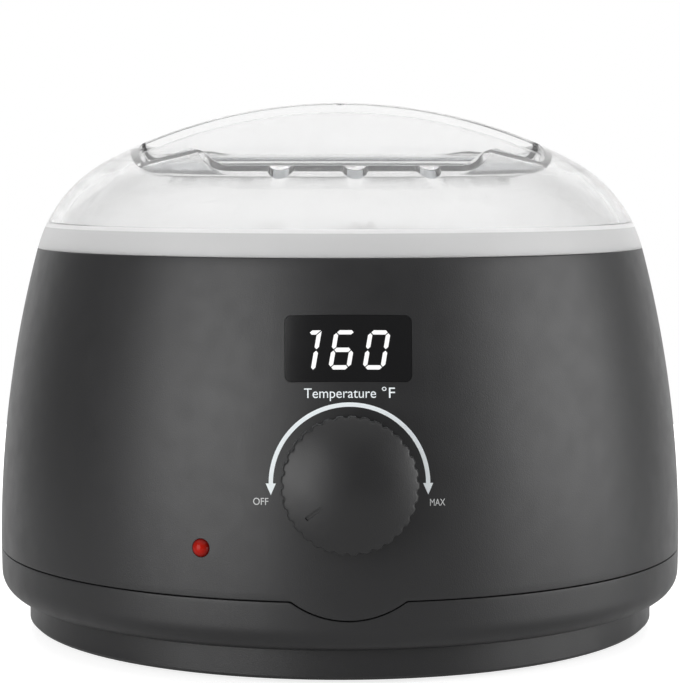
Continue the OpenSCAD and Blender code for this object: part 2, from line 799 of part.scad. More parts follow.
module deck_section() difference() {
  box2d(well_r + fit, deck_z - deck_t, side_at(deck_z, wall) + bite, deck_z);
  box2d(0, deck_z - well_t, flange_r + fit, deck_z + past);
}

// Screw posts under the upper housing, each with a rib out to the wall
module posts() intersection() {
  around(post_angles, post_r) {
    translate([0, 0, post_z]) cylinder(d = post_d, h = post_top - post_z);
    rib_z = seam_z + tongue_h + past;
    translate([0, -rib_t / 2, rib_z]) cube([far / 4, rib_t, post_top - rib_z]);
  }
  rotate_extrude() body_section(wall / 2);
}

module wall_bosses() {
  on_wall(0, knob_z) translate([0, 0, -seat_depth]) cylinder(d = spot_d + 2 * wall, h = seat_depth - wall / 2);
  on_wall(0, display_z) corners(display_screw_x, display_screw_y)
    translate([0, 0, module_z]) cylinder(d = display_boss_d, h = -module_z - wall / 2);
  on_wall(light_a, light_z) translate([0, 0, light_flange_z - past])
    cylinder(d = light_d + 2 * (light_flange_w + wall), h = -light_flange_z + past - wall / 2);
}

module wall_holes() {
  on_wall(0, knob_z) {
    translate([0, 0, -seat_depth - past]) cylinder(d = bush_d + 2 * fit, h = seat_depth + 2 * past);
    translate([0, 0, -spot_depth]) cylinder(d = spot_d, h = spot_depth + past);
  }
  on_wall(0, display_z) corners(display_screw_x, display_screw_y)
    translate([0, 0, module_z - past]) cylinder(d = display_screw_d + 2 * screw_gap, h = display_screw_l + past);
  on_wall(light_a, light_z) {
    translate([0, 0, light_flange_z - past]) cylinder(d = light_d + 2 * light_gap, h = reach - light_flange_z);
    translate([0, 0, light_flange_z - 2 * past])
      cylinder(d = light_d + 2 * (light_flange_w + light_gap), h = light_flange_t + 2 * past + fit / 2);
  }
  window_prism(0);
  gland_cut();
  around(post_angles, post_r) translate([0, 0, post_z]) mirror([0, 0, 1]) screw_hole(screw_d, screw_l);
}

module upper_housing() color(charcoal) difference() {
  union() {
    intersection() {
      skin();
      above_seam(seam_gap / 2);
    }
    rotate_extrude() deck_section();
    posts();
    intersection() {
      wall_bosses();
      rotate_extrude() body_section(wall / 2);
    }
  }
  wall_holes();
}

// Half section of the tongue that stands up inside the upper housing, with its root on the lower one
module tongue_section() {
  box2d(tongue_r - tongue_t, seam_z - tongue_root, tongue_r + tongue_gap + bite, seam_z - seam_gap);
  box2d(tongue_r - tongue_t, seam_z - tongue_root, tongue_r, seam_z + tongue_h);
}

module lower_housing() color(charcoal) difference() {
  union() {
    rotate_extrude() difference() {
      intersection() {
        body_section(0);
        box2d(lower_open_r, 0, body_d, seam_z - seam_gap / 2);
      }
      body_section(wall);
    }
    rotate([0, 0, 90 + gland_half_a]) rotate_extrude(angle = 360 - 2 * gland_half_a) tongue_section();
  }
  difference() {
    above_seam(-seam_gap / 2);
    cylinder(r = tongue_r + tongue_gap / 2, h = far);
  }
  around(post_angles, post_r) translate([0, 0, post_z]) screw_hole(screw_d, wall);
  gland_cut();
}

module bottom_cover() color(charcoal) difference() {
  head_z = lower_z - wall - screw_d * head_h_ratio;
  union() {
    rotate_extrude() difference() {
      box2d(0, foot_proud, plinth_r, lower_z);
      box2d(0, floor_z, plinth_r - wall, lower_z + past);
      translate([plinth_r, foot_proud]) rotate(45) square(plinth_chamfer * sqrt(2), center = true);
    }
    around(post_angles, post_r)
      translate([0, 0, floor_z - bite]) cylinder(d = post_d + wall, h = lower_z - floor_z + bite);
    around([0, 180], bracket_post_r)
      translate([0, 0, floor_z - bite]) cylinder(d = post_d, h = bay_h + bite);
    translate([0, power_y, floor_z - bite]) corners(standoff_x, standoff_y)
      cylinder(d = standoff_d, h = standoff_h + bite);
  }
  around(post_angles, post_r) {
    translate([0, 0, lower_z]) screw_hole(screw_d, lower_z);
    translate([0, 0, -past]) cylinder(d = screw_d * head_ratio + 2 * head_gap, h = lower_z - wall + past);
  }
  around(foot_angles, foot_r) cylinder(d = foot_d + 2 * fit, h = foot_proud + foot_pocket);
  around([0, 180], bracket_post_r) translate([0, 0, bracket_z]) screw_hole(bracket_screw_d, bracket_screw_l);
  translate([0, power_y, power_z]) corners(standoff_x, standoff_y) screw_hole(board_screw_d, board_screw_l);
}

module rubber_feet() color(black) around(foot_angles, foot_r) cylinder(d = foot_d, h = foot_proud + foot_pocket);

module housing_screws() color(steel)
  around(post_angles, post_r) translate([0, 0, lower_z - wall]) mirror([0, 0, 1]) screw(screw_d, screw_l);

module display_window() color(black) difference() {
  intersection() {
    window_slice();
    window_prism(window_gap);
  }
  digits_prism();
}

module display_digits() color("white") intersection() {
  window_slice();
  digits_prism();
}

module display_module() color(black) on_wall(0, display_z)
  translate([-module_w / 2, -module_h / 2, module_z]) cube([module_w, module_h, module_t]);

module display_board() color(board_green) on_wall(0, display_z) difference() {
  translate([-display_board_w / 2, -display_board_h / 2, display_board_z])
    cube([display_board_w, display_board_h, board_t]);
  corners(display_screw_x, display_screw_y) translate([0, 0, module_z]) screw_hole(display_screw_d, board_t);
}

module display_screws() color(steel) on_wall(0, display_z) corners(display_screw_x, display_screw_y)
  translate([0, 0, display_board_z]) mirror([0, 0, 1]) screw(display_screw_d, display_screw_l);

// Half section of the knob's outside: a skirt, a crowned face and a fillet between them
module knob_section() {
  box2d(0, knob_gap, knob_r, knob_edge_z);
  intersection() {
    translate([0, knob_top - knob_ball]) circle(knob_ball, $fn = 360);
    box2d(0, knob_edge_z, knob_edge_x, knob_top + past);
  }
  intersection() {
    translate([knob_r - knob_edge, knob_edge_z]) circle(knob_edge);
    box2d(knob_edge_x, knob_edge_z, knob_r + past, knob_top);
  }
}

// Round shaft with a flat, grown by grow
module shaft_outline(grow) intersection() {
  circle(shaft_d / 2 + grow);
  translate([-shaft_d, -shaft_d]) square([shaft_d + shaft_d / 2 - shaft_flat + grow, 2 * shaft_d]);
}

module control_knob() color("#3c3c3f") on_wall(0, knob_z) difference() {
  rotate_extrude() difference() {
    knob_section();
    difference() {
      box2d(0, 0, knob_r - knob_wall, knob_cavity);
      box2d(0, hub_z, hub_d / 2, knob_cavity + past);
    }
  }
  translate([0, 0, hub_z - past]) linear_extrude(shaft_top + fit - hub_z + past) shaft_outline(shaft_gap);
  for (i = [1:knob_grooves]) rotate([0, 0, i * 360 / knob_grooves])
    translate([knob_r + groove_r - groove_depth, 0, 0]) cylinder(r = groove_r, h = knob_top, $fn = 24);
  rotate([0, 0, pointer_a]) translate([0, 0, knob_top - knob_ball]) rotate([0, asin(pointer_r / knob_ball), 0])
    translate([0, 0, knob_ball - pointer_depth]) linear_extrude(pointer_depth + past)
      rounded(pointer_l, pointer_w, pointer_w / 2 - fit);
}

module potentiometer() color(steel) on_wall(0, knob_z) {
  difference() {
    union() {
      translate([0, 0, -seat_depth - body_pot_l]) cylinder(d = body_pot_d, h = body_pot_l);
      translate([0, 0, -seat_depth - bite]) cylinder(d = bush_d, h = seat_depth + bite + bush_top);
    }
    translate([0, 0, shaft_end - fit]) cylinder(d = shaft_d + 2 * shaft_gap, h = far);
  }
  for (i = [-1:1])
    translate([i * pin_pitch - pin_w / 2, -body_pot_d / 2 - pin_l / 2, -seat_depth - body_pot_l / 2])
      cube([pin_w, pin_l, pin_t]);
}

module potentiometer_shaft() color(steel) on_wall(0, knob_z) {
  translate([0, 0, shaft_end]) cylinder(d = shaft_d, h = bush_top - shaft_end);
  translate([0, 0, bush_top - bite]) linear_extrude(shaft_top - bush_top + bite) shaft_outline(0);
}

module potentiometer_washer() color(steel) on_wall(0, knob_z) translate([0, 0, -spot_depth]) difference() {
  cylinder(d = washer_d, h = washer_t);
  translate([0, 0, -past]) cylinder(d = bush_d + 2 * fit, h = washer_t + 2 * past);
}

module potentiometer_nut() color(brass) on_wall(0, knob_z) translate([0, 0, nut_z])
  hex_nut(nut_af, nut_t, bush_d + 2 * screw_gap);

module indicator_lens() color("#c81808") on_wall(light_a, light_z) {
  ball = (pow(light_d / 2, 2) + pow(light_dome, 2)) / (2 * light_dome);
  difference() {
    union() {
      translate([0, 0, light_flange_z]) cylinder(d = light_d, h = -light_flange_z);
      translate([0, 0, light_flange_z]) cylinder(d = light_d + 2 * light_flange_w, h = light_flange_t);
    }
    translate([0, 0, light_flange_z - past]) cylinder(d = lamp_d + 2 * fit, h = light_flange_t + past);
  }
  intersection() {
    translate([0, 0, light_dome - ball]) sphere(ball);
    cylinder(d = light_d, h = light_dome);
  }
}

module indicator_led() color("#f0d8d0") on_wall(light_a, light_z)
  translate([0, 0, light_flange_z - lamp_l]) cylinder(d = lamp_d, h = lamp_l + light_flange_t - fit);

module power_board() color(board_green) translate([0, power_y, power_z]) difference() {
  translate([-power_w / 2, -power_d / 2, 0]) cube([power_w, power_d, board_t]);
  corners(standoff_x, standoff_y) translate([0, 0, board_t]) screw_hole(board_screw_d, board_t);
}

// Places on the power board, from its middle
module on_board(x, y) translate([x, power_y + y, parts_z]) children();

module relay() color("#2a6fb0") on_board(part_inset - power_w / 2, relay_y - relay_d / 2)
  cube([relay_w, relay_d, relay_h]);

module filter_capacitor() color("#20242c") on_board(capacitor_x, capacitor_y)
  cylinder(d = capacitor_d, h = capacitor_h);

module terminal_block() color("#e9e9e4") on_board(terminal_x, terminal_y) difference() {
  way = terminal_w / terminal_ways;
  translate([-terminal_w / 2, -terminal_d / 2, 0]) cube([terminal_w, terminal_d, terminal_h]);
  for (i = [1:terminal_ways])
    translate([(i - 0.5) * way - terminal_w / 2, 0, terminal_h / 2]) cylinder(d = terminal_hole, h = terminal_h);
}

module board_screws() color(steel) translate([0, power_y, parts_z]) corners(standoff_x, standoff_y)
  screw(board_screw_d, board_screw_l);

module gland_disc(d, y, t) translate([0, y, seam_z]) rotate([-90, 0, 0]) cylinder(d = d, h = t);

module cord_gland() color(black) difference() {
  union() {
    gland_disc(gland_flange_d, gland_out, gland_flange_t);
    gland_bar(gland_neck_w, gland_in - bite, gland_out + bite);
    gland_disc(gland_flange_d, gland_in - gland_flange_t, gland_flange_t);
  }
  gland_disc(gland_bore, 0, far);
}

on_axis() lid();
on_axis() wax_pot();
on_axis() heating_well();
on_axis() heater_disc();
on_axis() heater_band();
on_axis() insulation_disc();
on_axis() well_bracket();
on_axis() well_nut();
on_axis() bracket_screws();
on_axis() temperature_sensor();
on_axis() thermal_fuse();
on_axis() sensor_clips();
on_axis() upper_housing();
on_axis() lower_housing();
on_axis() bottom_cover();
on_axis() rubber_feet();
on_axis() housing_screws();
on_axis() display_window();
on_axis() display_digits();
on_axis() display_module();
on_axis() display_board();
on_axis() display_screws();
on_axis() control_knob();
on_axis() potentiometer();
on_axis() potentiometer_shaft();
on_axis() potentiometer_washer();
on_axis() potentiometer_nut();
on_axis() indicator_lens();
on_axis() indicator_led();
on_axis() power_board();
on_axis() relay();
on_axis() filter_capacitor();
on_axis() terminal_block();
on_axis() board_screws();
on_axis() cord_gland();
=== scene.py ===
"""Wax warmer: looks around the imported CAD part. Metres, +Z up, the front is -Y."""
import math

import bmesh
import bpy
from mathutils import Matrix, Vector


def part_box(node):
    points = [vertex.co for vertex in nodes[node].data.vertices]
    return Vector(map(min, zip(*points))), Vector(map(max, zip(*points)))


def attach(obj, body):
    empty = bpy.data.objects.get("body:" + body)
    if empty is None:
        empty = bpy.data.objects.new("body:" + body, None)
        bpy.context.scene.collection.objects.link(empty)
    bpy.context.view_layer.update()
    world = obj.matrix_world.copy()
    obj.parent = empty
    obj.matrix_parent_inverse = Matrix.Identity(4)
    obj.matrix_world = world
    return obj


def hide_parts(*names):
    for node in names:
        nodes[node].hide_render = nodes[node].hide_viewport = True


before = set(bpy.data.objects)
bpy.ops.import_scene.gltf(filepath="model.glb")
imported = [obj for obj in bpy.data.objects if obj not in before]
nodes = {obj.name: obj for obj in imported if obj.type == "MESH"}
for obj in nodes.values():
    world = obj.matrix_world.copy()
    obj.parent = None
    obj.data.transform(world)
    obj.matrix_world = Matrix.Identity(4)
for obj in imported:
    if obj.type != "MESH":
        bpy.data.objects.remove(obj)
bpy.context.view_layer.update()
scene = bpy.context.scene
scene.view_settings.view_transform = "Standard"
# Enough bounces for light that crosses all the lid's walls
scene.cycles.max_bounces = 20
scene.cycles.transmission_bounces = 20
scene.cycles.glossy_bounces = 8

MM = 0.001
low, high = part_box("lid")
AXIS_Y = (low.y + high.y) / 2

# Sizes of the CAD source that the looks repeat, in millimetres about the body's axis
BODY_R, SIDE_R, BELT_Z, RIM_Z, WALL = 87.0, 285.0, 21.0, 95.6, 2.6
SEAM_Z, DIP_HALF_W, DIP_H = 20.1, 12.9, 4.2
LOWER_Z, LOWER_FILLET, LOWER_OPEN_R = 8.2, 6.0, 64.0
TONGUE_GAP, TONGUE_T, TONGUE_H, TONGUE_ROOT = 0.2, 1.4, 3.0, 4.0
DECK_Z, DECK_T, WELL_T, FIT = 91.9, 3.0, 1.5, 0.1
WELL_R, FLANGE_R = 61.66, 65.96
BAND_TOP = 101.2
KNOB_Z, KNOB_R, KNOB_GAP, KNOB_TOP, KNOB_CROWN, KNOB_EDGE = 46.4, 15.0, 0.6, 13.8, 3.8, 1.0
KNOB_WALL, KNOB_CAVITY = 2.4, 7.0
GROOVES, GROOVE_R, GROOVE_DEPTH = 33, 0.9, 0.45
POINTER_A, POINTER_R, POINTER_L, POINTER_W, POINTER_DEPTH = math.radians(216.5), 9.7, 4.6, 0.9, 0.5
DISPLAY_Z, WINDOW_W, WINDOW_H, WINDOW_CORNER = 75.9, 28.2, 14.9, 1.5
LIGHT_A, LIGHT_Z, LIGHT_D = math.radians(-22.2), 31.3, 4.3
SPOT_D, GLAND_W = 16.0, 10.2

# Camera, fitted to the photograph's 680 x 683 frame
FRAME_H, FOCAL_PX, SENSOR = 683, 2150.9, 36.0
CAM_DIST, CAM_Z, CAM_PITCH, CAM_AZ = 0.5543, 0.1148, 0.079, math.radians(1.3)
CLIP_START = 0.01

# Softboxes, in metres: both stand at one distance and height and aim at one point on the Z axis
LAMP_DIST, LAMP_Z, LAMP_H, LAMP_AIM_Z = 1.2, 0.2, 1.1, 0.07

# World: strength on its dim side, and the stretches of the axes along which it grows to white
WORLD_DIM = 0.23
WORLD_RAMPS = (("Y", 0.5, 0.85), ("Z", 0.55, 0.85))

# Floor: its own white by the object, the radii between which that grows to full, and the share that reflections get
FLOOR_LIFT, FLOOR_NEAR, FLOOR_FAR, FLOOR_GLOSS = 0.8, 0.1, 0.45, 0.2
FLOOR_GREY, FLOOR_ROUGH, FLOOR_STEPS = 0.6, 0.15, 96

# Meshes: welding distances in metres, the angle of a sharp edge in degrees, points on a circle, steps onto the wall
WELD, SLIVER, SHARP_ANGLE, CIRCLE_STEPS, WALL_PASSES = 1e-7, 1e-8, 35, 64, 6


def side_at(z, inset=0.0):
    return BODY_R - SIDE_R + math.sqrt((SIDE_R - inset) ** 2 - (z - BELT_Z) ** 2)


def tilt_at(z):
    return math.asin((z - BELT_Z) / SIDE_R)


def spread(a, b, n):
    return [a + (b - a) * i / (n - 1) for i in range(n)]


def arc(x, z, r, a0, a1, n):
    return [(x + r * math.cos(a), z + r * math.sin(a)) for a in spread(a0, a1, n)]


def wall_frame(a, z):
    """Frame on the outside of the wall: +Z out of it, +Y up it."""
    return (Matrix.Rotation(a, 4, "Z") @ Matrix.Translation((0, -side_at(z), z))
            @ Matrix.Rotation(math.pi / 2 - tilt_at(z), 4, "X"))


def on_wall(place, u, v, lift):
    """Point of a wall frame's (u, v), dropped straight onto the wall and lifted off it."""
    w = 0.0
    for _ in range(WALL_PASSES):
        p = place @ Vector((u, v, w))
        w -= math.hypot(p.x, p.y) - side_at(p.z)
    p = place @ Vector((u, v, w))
    r = math.hypot(p.x, p.y)
    t = tilt_at(p.z)
    out = Vector((p.x / r * math.cos(t), p.y / r * math.cos(t), math.sin(t)))
    return p + out * lift


def smooth(obj):
    obj.data.polygons.foreach_set("use_smooth", [True] * len(obj.data.polygons))
    obj.data.set_sharp_from_angle(angle=math.radians(SHARP_ANGLE))


def add_mesh(name, verts, faces):
    """Closed mesh from points in millimetres about the body's axis."""
    bm = bmesh.new()
    made = [bm.verts.new((p[0] * MM, p[1] * MM + AXIS_Y, p[2] * MM)) for p in verts]
    for f in faces:
        bm.faces.new([made[i] for i in f])
    bmesh.ops.remove_doubles(bm, verts=bm.verts, dist=WELD)
    bmesh.ops.dissolve_degenerate(bm, edges=bm.edges, dist=SLIVER)
    bmesh.ops.recalc_face_normals(bm, faces=bm.faces)
    mesh = bpy.data.meshes.new(name)
    bm.to_mesh(mesh)
    bm.free()
    obj = bpy.data.objects.new(name, mesh)
    scene.collection.objects.link(obj)
    smooth(obj)
    return obj


def skin(columns, round_profile=True):
    """Quads over a ring of columns of points; the profile is a loop, or runs from axis to axis."""
    n, m = len(columns), len(columns[0])
    verts = [p for col in columns for p in col]
    faces = []
    for i in range(n):
        k = (i + 1) % n
        for j in range(m if round_profile else m - 1):
            up = (j + 1) % m
            faces.append((i * m + j, k * m + j, k * m + up, i * m + up))
    return verts, faces


def turned(a, profile):
    """Column of a lathe at an angle from the front."""
    return [(r * math.sin(a), -r * math.cos(a), z) for r, z in profile]


def prism(place, outline, w0, w1):
    """Closed prism over an outline in a frame."""
    n = len(outline)
    verts = [tuple(place @ Vector((u, v, w))) for w in (w0, w1) for u, v in outline]
    faces = [tuple(range(n)), tuple(range(n, 2 * n))]
    faces += [(i, (i + 1) % n, n + (i + 1) % n, n + i) for i in range(n)]
    return verts, faces


def merged(*parts):
    verts, faces = [], []
    for v, f in parts:
        faces += [tuple(i + len(verts) for i in face) for face in f]
        verts += v
    return verts, faces


def circle(r):
    turns = [2 * math.pi * i / CIRCLE_STEPS for i in range(CIRCLE_STEPS)]
    return [(r * math.cos(a), r * math.sin(a)) for a in turns]


def rounded(w, h, r, n=9):
    """Rectangle with n points round each corner."""
    pts = []
    for i, (sx, sy) in enumerate(((1, 1), (-1, 1), (-1, -1), (1, -1))):
        pts += arc(sx * (w / 2 - r), sy * (h / 2 - r), r, i * math.pi / 2, (i + 1) * math.pi / 2, n)
    return pts


def final_mesh(obj):
    """Mesh of an object as its modifiers or its text give it."""
    graph = bpy.context.evaluated_depsgraph_get()
    return bpy.data.meshes.new_from_object(obj.evaluated_get(graph))


def cut(obj, cutter):
    mod = obj.modifiers.new("cut", "BOOLEAN")
    mod.operation, mod.solver, mod.object = "DIFFERENCE", "EXACT", cutter
    mesh = final_mesh(obj)
    obj.modifiers.clear()
    obj.data = mesh
    bpy.data.objects.remove(cutter)
    smooth(obj)


def place_piece(obj, body, slot, mat, *stands_for):
    obj.data.materials.clear()
    obj.data.materials.append(mat)
    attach(obj, body)
    if stands_for:
        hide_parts(*stands_for)


# Housings
EDGE, RIM_EDGE, DECK_CORNER, GLAND_CORNER, GLAND_STEPS = 0.2, 0.45, 0.8, 0.2, 3
# Half the seam's gap, finer than the CAD's 0.25
SEAM_HALF = 0.12
DIP_R = (DIP_HALF_W ** 2 + DIP_H ** 2) / (2 * DIP_H)
DIP_MID_Z = SEAM_Z - DIP_H + DIP_R
# Degrees each side of the front that are stepped finely, and the points there and on the rest of the ring
DIP_ARC, DIP_STEPS, RING_STEPS = 12, 81, 169
# Points along the stretches of the profiles
EDGE_STEPS, SEAT_STEPS, SIDE_STEPS, INNER_STEPS, LOWER_STEPS, FILLET_STEPS = 6, 5, 44, 12, 8, 14
# Angle that the lower housing's inner fillet stops short by, and how far a cutter reaches each way through the wall
INNER_STOP, HOLE_REACH = 0.5, 9


def seam_edge(a, grow):
    """Height of a housing's edge at the seam, with the dip in front."""
    x = BODY_R * math.sin(a)
    z = SEAM_Z + grow
    r = DIP_R - grow
    if math.cos(a) > 0 and abs(x) < r:
        z = min(z, DIP_MID_Z - math.sqrt(r * r - x * x))
    return z


def ring_angles():
    """Angles round the body, closer together at the dip in front."""
    fine = [math.radians(v) for v in spread(-DIP_ARC, DIP_ARC, DIP_STEPS)]
    rest = [math.radians(v) for v in spread(DIP_ARC, 360 - DIP_ARC, RING_STEPS)]
    return fine + rest[1:-1]


def upper_profile(a):
    zb = seam_edge(a, SEAM_HALF)
    z0, z1 = zb + EDGE, RIM_Z - RIM_EDGE
    p = arc(side_at(z0, EDGE), z0, EDGE, -math.pi / 2, tilt_at(z0), EDGE_STEPS)
    p += [(side_at(z), z) for z in spread(z0, z1, SIDE_STEPS)[1:-1]]
    p += arc(side_at(z1, RIM_EDGE), z1, RIM_EDGE, tilt_at(z1), math.pi / 2, EDGE_STEPS)
    rim_in = side_at(RIM_Z, WALL)
    p += arc(rim_in + RIM_EDGE, z1, RIM_EDGE, math.pi / 2, math.pi, EDGE_STEPS)
    corner = side_at(DECK_Z, WALL) - DECK_CORNER
    p += arc(corner, DECK_Z + DECK_CORNER, DECK_CORNER, 0, -math.pi / 2, EDGE_STEPS)
    seat = FLANGE_R + FIT
    p += arc(seat + EDGE, DECK_Z - EDGE, EDGE, math.pi / 2, math.pi, SEAT_STEPS)
    p += [(seat, DECK_Z - WELL_T), (WELL_R + FIT, DECK_Z - WELL_T), (WELL_R + FIT, DECK_Z - DECK_T)]
    p += [(side_at(z, WALL), z) for z in spread(DECK_Z - DECK_T, zb, INNER_STEPS)]
    return p


def lower_profile(a):
    zt = seam_edge(a, -SEAM_HALF)
    z0 = zt - EDGE
    fz = LOWER_Z + LOWER_FILLET
    fx = side_at(fz, LOWER_FILLET)
    lean = math.asin((fz - BELT_Z) / (SIDE_R - LOWER_FILLET))
    z1 = fz + LOWER_FILLET * math.sin(lean)
    tongue = side_at(SEAM_Z, WALL) - TONGUE_GAP
    p = arc(side_at(z0, EDGE), z0, EDGE, math.pi / 2, tilt_at(z0), EDGE_STEPS)
    p += [(side_at(z), z) for z in spread(z0, z1, LOWER_STEPS)[1:-1]]
    p += arc(fx, fz, LOWER_FILLET, lean, -math.pi / 2, FILLET_STEPS)
    p += [(LOWER_OPEN_R, LOWER_Z), (LOWER_OPEN_R, LOWER_Z + WALL)]
    p += arc(fx, fz, LOWER_FILLET - WALL, -math.pi / 2, lean - INNER_STOP, EDGE_STEPS)
    p += [(tongue - TONGUE_T, SEAM_Z - TONGUE_ROOT), (tongue - TONGUE_T, SEAM_Z + TONGUE_H)]
    p += [(tongue, SEAM_Z + TONGUE_H), (tongue, zt - EDGE), (tongue + TONGUE_GAP, zt)]
    return p


def hole(place, outline):
    return prism(place, outline, -HOLE_REACH, HOLE_REACH)


def build_housings(mat):
    rear = Matrix.Translation((0, BODY_R, SEAM_Z)) @ Matrix.Rotation(math.pi / 2, 4, "X")
    gland = hole(rear, rounded(GLAND_W, GLAND_W, GLAND_CORNER, GLAND_STEPS))
    upper = add_mesh("upper_shell", *skin([turned(a, upper_profile(a)) for a in ring_angles()]))
    cut(upper, add_mesh("holes", *merged(
        hole(wall_frame(0, DISPLAY_Z), rounded(WINDOW_W, WINDOW_H, WINDOW_CORNER)),
        hole(wall_frame(0, KNOB_Z), circle(SPOT_D / 2)),
        hole(wall_frame(LIGHT_A, LIGHT_Z), circle(LIGHT_D / 2)),
        gland)))
    place_piece(upper, "body", "charcoal_plastic", mat, "upper_housing")
    lower = add_mesh("lower_shell", *skin([turned(a, lower_profile(a)) for a in ring_angles()]))
    cut(lower, add_mesh("holes", *gland))
    place_piece(lower, "body", "charcoal_plastic", mat, "lower_housing")


# Knob
KNOB_BALL = (KNOB_R ** 2 + KNOB_CROWN ** 2) / (2 * KNOB_CROWN)
KNOB_FOOT = 0.3
# Columns per groove, and points along the stretches of the profile
GROOVE_STEPS, FOOT_STEPS, SKIRT_STEPS, CROWN_EDGE_STEPS, CROWN_STEPS = 14, 4, 6, 8, 16
# The pointer's cutter: how much less than round its ends are, points round them, and its height over the face
POINTER_BLUNT, POINTER_STEPS, POINTER_CLEAR = 0.1, 7, 1


def knob_radius(t):
    """Radius of the grooved skirt at an angle from a groove's middle."""
    mid = KNOB_R + GROOVE_R - GROOVE_DEPTH
    inside = GROOVE_R ** 2 - (mid * math.sin(t)) ** 2
    return min(KNOB_R, mid * math.cos(t) - math.sqrt(inside)) if inside > 0 else KNOB_R


def knob_profile(r):
    """From the cavity's roof round the skirt of radius r to the middle of the domed face."""
    x = r - KNOB_EDGE
    z = KNOB_TOP - KNOB_BALL + math.sqrt((KNOB_BALL - KNOB_EDGE) ** 2 - x * x)
    lean = math.asin(x / (KNOB_BALL - KNOB_EDGE))
    p = [(0, KNOB_CAVITY), (KNOB_R - KNOB_WALL, KNOB_CAVITY), (KNOB_R - KNOB_WALL, KNOB_GAP)]
    p += arc(r - KNOB_FOOT, KNOB_GAP + KNOB_FOOT, KNOB_FOOT, -math.pi / 2, 0, FOOT_STEPS)
    p += [(r, v) for v in spread(KNOB_GAP + KNOB_FOOT, z, SKIRT_STEPS)[1:-1]]
    p += arc(x, z, KNOB_EDGE, 0, math.pi / 2 - lean, CROWN_EDGE_STEPS)
    start = x * KNOB_BALL / (KNOB_BALL - KNOB_EDGE)
    p += [(v, KNOB_TOP - KNOB_BALL + math.sqrt(KNOB_BALL ** 2 - v * v))
          for v in spread(start, 0, CROWN_STEPS)[1:]]
    return p


def build_knob(mat):
    place = wall_frame(0, KNOB_Z)
    columns = []
    for i in range(GROOVES * GROOVE_STEPS):
        t = (i % GROOVE_STEPS / GROOVE_STEPS - 0.5) * 2 * math.pi / GROOVES
        a = 2 * math.pi * i / (GROOVES * GROOVE_STEPS)
        columns.append([tuple(place @ Vector((r * math.cos(a), r * math.sin(a), z)))
                        for r, z in knob_profile(knob_radius(t))])
    knob = add_mesh("knob_cap", *skin(columns, False))
    lean = Matrix.Rotation(math.asin(POINTER_R / KNOB_BALL), 4, "Y")
    slot_place = (place @ Matrix.Rotation(POINTER_A, 4, "Z")
                  @ Matrix.Translation((0, 0, KNOB_TOP - KNOB_BALL))
                  @ lean @ Matrix.Translation((0, 0, KNOB_BALL)))
    outline = rounded(POINTER_L, POINTER_W, POINTER_W / 2 - POINTER_BLUNT, POINTER_STEPS)
    cut(knob, add_mesh("slot", *prism(slot_place, outline, -POINTER_DEPTH, POINTER_CLEAR)))
    place_piece(knob, "knob", "knob_plastic", mat, "control_knob")


# Print and lit digits on the front
PRINT_LIFT, PRINT_SINK = 0.05, -0.05
ARC_X, ARC_R, ARC_W, ARC_STEPS, ARROW_W, ARROW_L = 0.2, 17.35, 0.95, 97, 2.25, 2.55
DIGIT_H, DIGIT_W, DIGIT_STROKE, DIGIT_GAP, FLAG_L = 8.72, 4.9, 0.95, 0.17, 2.07
DIGIT_X, DIGIT_Y, DIGIT_LEAN = (-9.06, -1.31, 6.24), -0.35, math.tan(math.radians(9.8))
# Words: left and right about the middle, bottom and top
TEMPERATURE_BOX, DEGREES_BOX = (-9.8, 6.05, 65.1, 67.2), (7.36, 10.24, 65.1, 67.5)
OFF_BOX, MAX_BOX = (-21.05, -17.7, 41.65, 43.2), (17.95, 21.35, 41.35, 42.85)
# Points per curve of a letter, and the distance for welding them in the font's own size
LETTER_STEPS, LETTER_WELD = 6, 1e-5


def ink(name, mat, outline_faces, slot=None, *stands_for):
    """Thin slab over flat faces of a wall frame's (u, v), bent onto the wall."""
    place, points, faces = outline_faces
    n = len(points)
    verts = [tuple(on_wall(place, u, v, lift)) for lift in (PRINT_LIFT, PRINT_SINK) for u, v in points]
    edges = dict.fromkeys((a, b) for f in faces for a, b in zip(f, f[1:] + f[:1]))
    rim = [(a, b) for a, b in edges if (b, a) not in edges]
    quads = list(map(tuple, faces)) + [tuple(i + n for i in reversed(f)) for f in faces]
    quads += [(b, a, a + n, b + n) for a, b in rim]
    obj = add_mesh(name, verts, quads)
    place_piece(obj, "body", slot, mat, *stands_for)


def arc_faces():
    """Half ring round the knob with an arrowhead at each end."""
    place = wall_frame(0, KNOB_Z) @ Matrix.Translation((ARC_X, 0, 0))
    points = [(r * math.cos(a), r * math.sin(a)) for a in spread(0, math.pi, ARC_STEPS)
              for r in (ARC_R - ARC_W / 2, ARC_R + ARC_W / 2)]
    faces = [[2 * i, 2 * i + 1, 2 * i + 3, 2 * i + 2] for i in range(ARC_STEPS - 1)]
    for s, inner in ((1, 0), (-1, 2 * ARC_STEPS - 2)):
        k = len(points)
        points += [(s * ARC_R + s * ARROW_W / 2, 0), (s * ARC_R - s * ARROW_W / 2, 0), (s * ARC_R, -ARROW_L)]
        head = [k + 2, k, inner + 1, inner, k + 1]
        faces.append(head if s > 0 else head[::-1])
    return place, points, faces


def bar(a, b):
    """Long hexagon from a to b, with both tips drawn in by the gap between segments."""
    a, b = Vector(a), Vector(b)
    run = (b - a).normalized()
    a, b = a + run * DIGIT_GAP, b - run * DIGIT_GAP
    out = Vector((-run.y, run.x)) * DIGIT_STROKE / 2
    run = run * DIGIT_STROKE / 2
    return [a, a + run - out, b - run - out, b, b - run + out, a + run + out]


